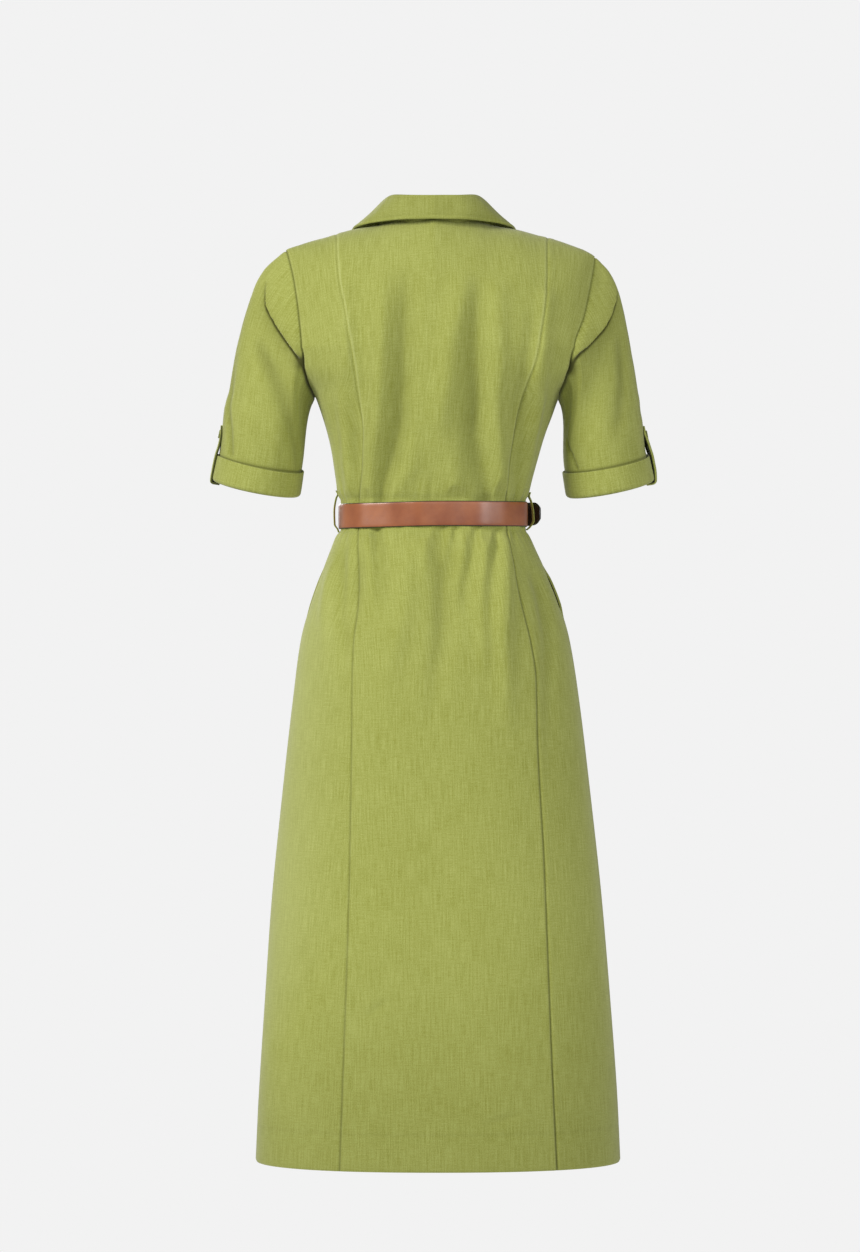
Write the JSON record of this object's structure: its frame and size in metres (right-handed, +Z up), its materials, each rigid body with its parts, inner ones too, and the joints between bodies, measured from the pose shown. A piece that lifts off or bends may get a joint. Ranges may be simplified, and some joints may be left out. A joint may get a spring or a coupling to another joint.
{
  "type": "belted shirt dress",
  "caption": "Midi shirt dress filled out as worn, with a turned-down collar, short cuffed sleeves with roll tabs, a shaped back and a leather belt.",
  "frame": {"origin": "middle of the neck opening at shoulder height, where the wearer's shoulders carry the dress", "axes": "+Z up, +Y the front of the dress, +X the wearer's right"},
  "size_m": [0.5574, 0.293, 1.2016],
  "materials": {
    "dress_cloth": "plain slubbed linen-like weave, matte",
    "belt_leather": "smooth, soft sheen, dark on the underside",
    "button": "dyed to match the cloth",
    "prong_metal": "satin"
  },
  "bodies": {
    "root": {"back_centre": "dress_cloth", "back_side_left": "dress_cloth", "back_side_right": "dress_cloth", "front_left": "dress_cloth", "front_right": "dress_cloth", "placket_right": "dress_cloth", "placket_left": "dress_cloth", "pocket_left": "dress_cloth", "pocket_right": "dress_cloth", "collar_stand": "dress_cloth", "collar_fall": "dress_cloth", "sleeve_left": "dress_cloth", "sleeve_right": "dress_cloth", "cuff_left": "dress_cloth", "cuff_right": "dress_cloth", "sleeve_tab_left": "dress_cloth", "sleeve_tab_right": "dress_cloth", "belt_loop_left": "dress_cloth", "belt_loop_right": "dress_cloth", "button_1": "button", "button_2": "button", "button_3": "button", "button_4": "button", "button_5": "button", "button_6": "button", "button_7": "button", "button_8": "button", "button_9": "button", "button_10": "button", "button_11": "button", "tab_button_left": "button", "tab_button_right": "button", "belt": "belt_leather", "belt_buckle": "belt_leather", "buckle_prong": "prong_metal"}
  },
  "joints": []
}
